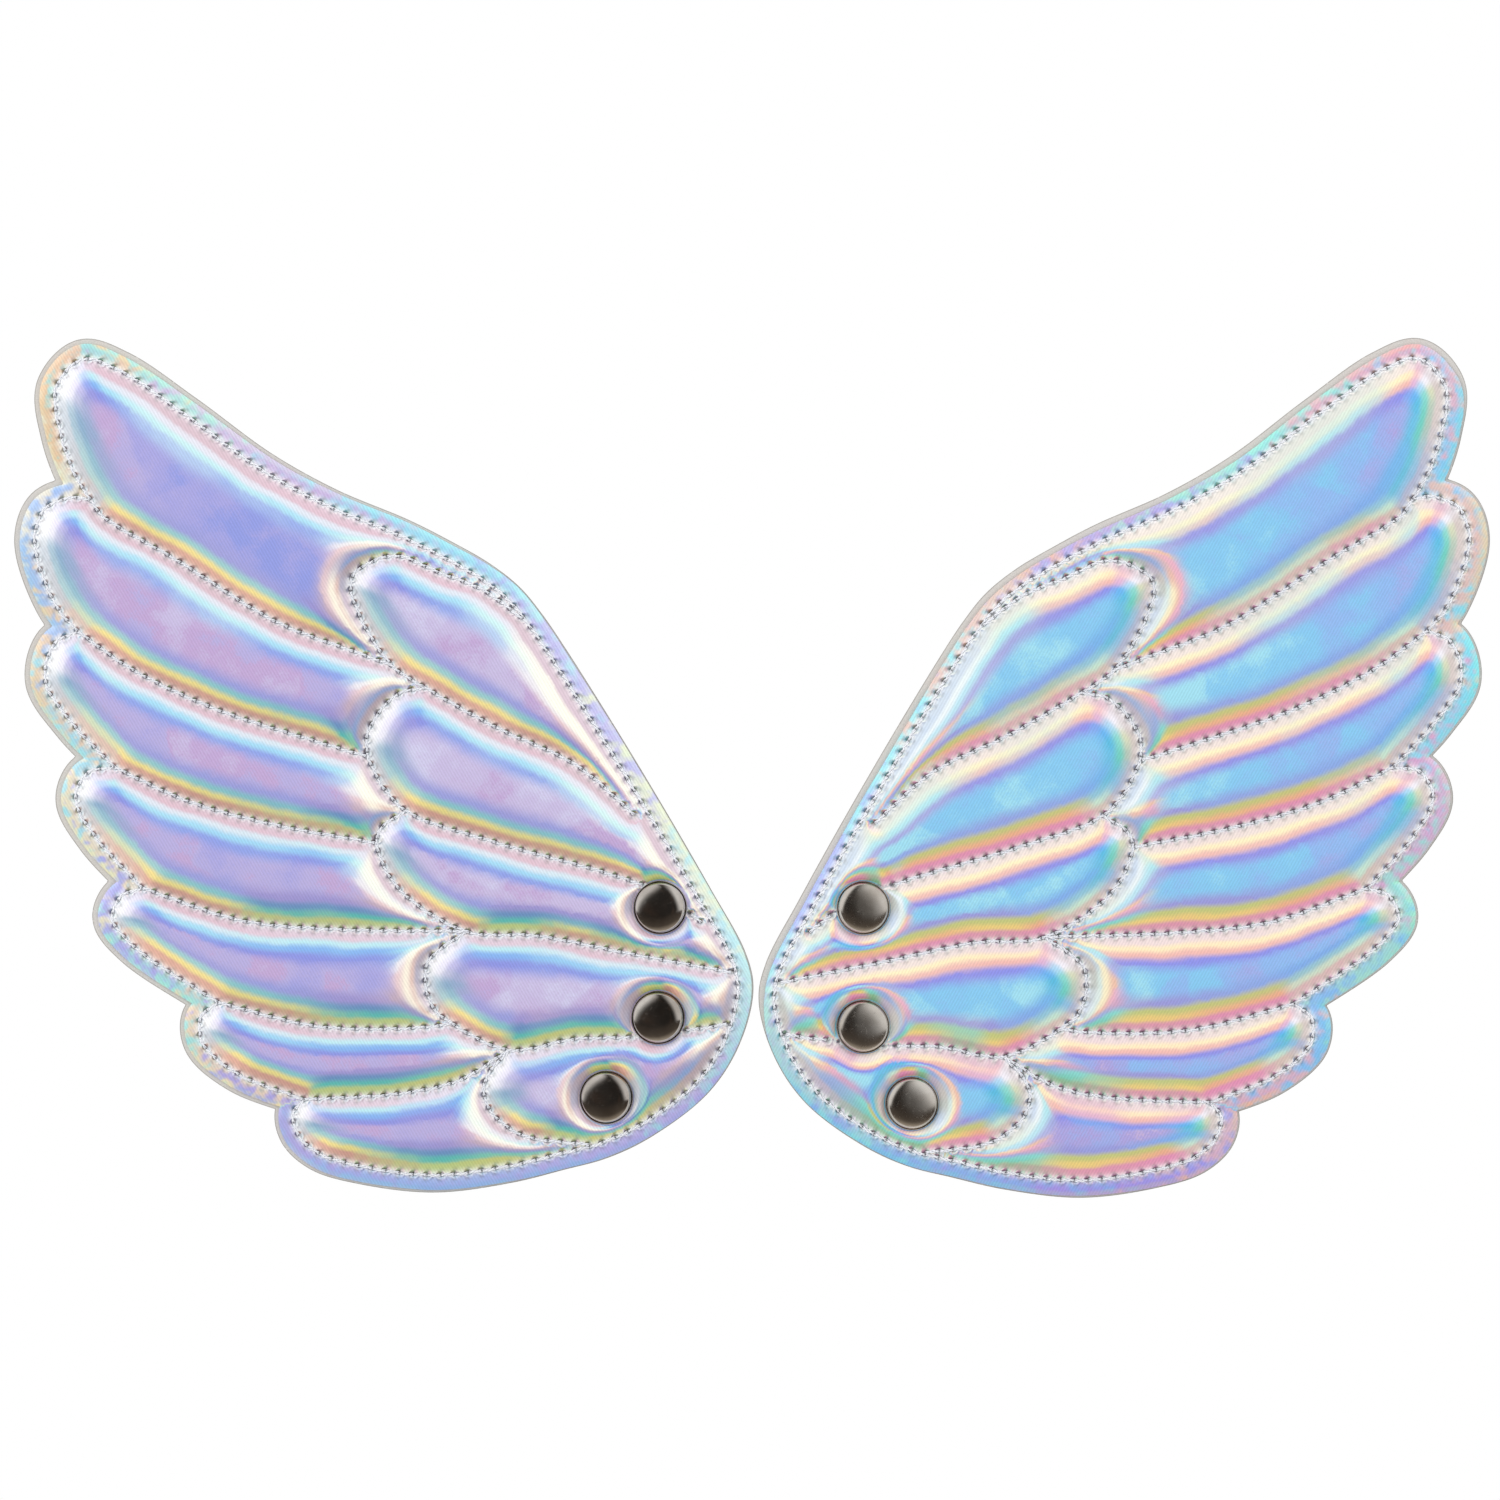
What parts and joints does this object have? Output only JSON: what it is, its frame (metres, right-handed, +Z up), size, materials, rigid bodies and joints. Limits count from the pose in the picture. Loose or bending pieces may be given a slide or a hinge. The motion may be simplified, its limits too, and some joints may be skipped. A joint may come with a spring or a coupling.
{
  "type": "fairy wings",
  "caption": "Pair of small quilted, padded iridescent feather wings, held to a garment by press snaps at the root of each wing.",
  "frame": {"origin": "on the garment plane, in the middle of the pair, at the height of the left wing's middle snap", "axes": "+X to the viewer's right, +Z up, the decorated front faces -Y and the snap sockets open to +Y"},
  "size_m": [0.3423, 0.0088, 0.1992],
  "materials": {
    "hologram_film": "iridescent coated fabric, glossy, with a fine twill showing through",
    "backing": "pale grey coated backing, satin",
    "board": "matt interlining board",
    "foam": "open-cell polyester foam",
    "edge_thread": "bright twisted silver-white thread",
    "quilting_thread": "bright twisted silver-white thread",
    "cap_metal": "polished black nickel",
    "post_metal": "nickel-plated",
    "socket_metal": "black nickel, worn bright on the rim",
    "spring_wire": "bright spring wire"
  },
  "bodies": {
    "left_root": {"left_back_cover_root": "backing", "left_stay_board_root": "board", "left_foam_padding_root": "foam", "left_front_cover_root": "hologram_film", "left_edge_thread_root": "edge_thread", "left_quilting_thread_root": "quilting_thread", "left_snap_cap_upper": "cap_metal", "left_snap_cap_middle": "cap_metal", "left_snap_cap_lower": "cap_metal", "left_snap_post_upper": "post_metal", "left_snap_post_middle": "post_metal", "left_snap_post_lower": "post_metal", "left_snap_socket_upper": "socket_metal", "left_snap_socket_middle": "socket_metal", "left_snap_socket_lower": "socket_metal", "left_socket_spring_upper": "spring_wire", "left_socket_spring_middle": "spring_wire", "left_socket_spring_lower": "spring_wire"},
    "left_blade": {"left_back_cover_blade": "backing", "left_stay_board_blade": "board", "left_foam_padding_blade": "foam", "left_front_cover_blade": "hologram_film", "left_edge_thread_blade": "edge_thread", "left_quilting_thread_blade": "quilting_thread"},
    "right_root": {"right_back_cover_root": "backing", "right_stay_board_root": "board", "right_foam_padding_root": "foam", "right_front_cover_root": "hologram_film", "right_edge_thread_root": "edge_thread", "right_quilting_thread_root": "quilting_thread", "right_snap_cap_upper": "cap_metal", "right_snap_cap_middle": "cap_metal", "right_snap_cap_lower": "cap_metal", "right_snap_post_upper": "post_metal", "right_snap_post_middle": "post_metal", "right_snap_post_lower": "post_metal", "right_snap_socket_upper": "socket_metal", "right_snap_socket_middle": "socket_metal", "right_snap_socket_lower": "socket_metal", "right_socket_spring_upper": "spring_wire", "right_socket_spring_middle": "spring_wire", "right_socket_spring_lower": "spring_wire"},
    "right_blade": {"right_back_cover_blade": "backing", "right_stay_board_blade": "board", "right_foam_padding_blade": "foam", "right_front_cover_blade": "hologram_film", "right_edge_thread_blade": "edge_thread", "right_quilting_thread_blade": "quilting_thread"}
  },
  "joints": [
    {"name": "right_wing_unsnap", "type": "slide", "parent": "left_root", "child": "right_root", "axis": [0, -1, 0], "range_m": [0, 0.025]},
    {"name": "left_flex", "type": "hinge", "parent": "left_root", "child": "left_blade", "pos_m": [-0.0415, -0.006, 0], "axis": [0.225, 0, 0.9744], "range_deg": [-30, 60], "stiffness_Nm_per_rad": 0.2},
    {"name": "right_flex", "type": "hinge", "parent": "right_root", "child": "right_blade", "pos_m": [0.04399, -0.006, -0.00178], "axis": [0.2419, 0, -0.9703], "range_deg": [-30, 60], "stiffness_Nm_per_rad": 0.2}
  ]
}
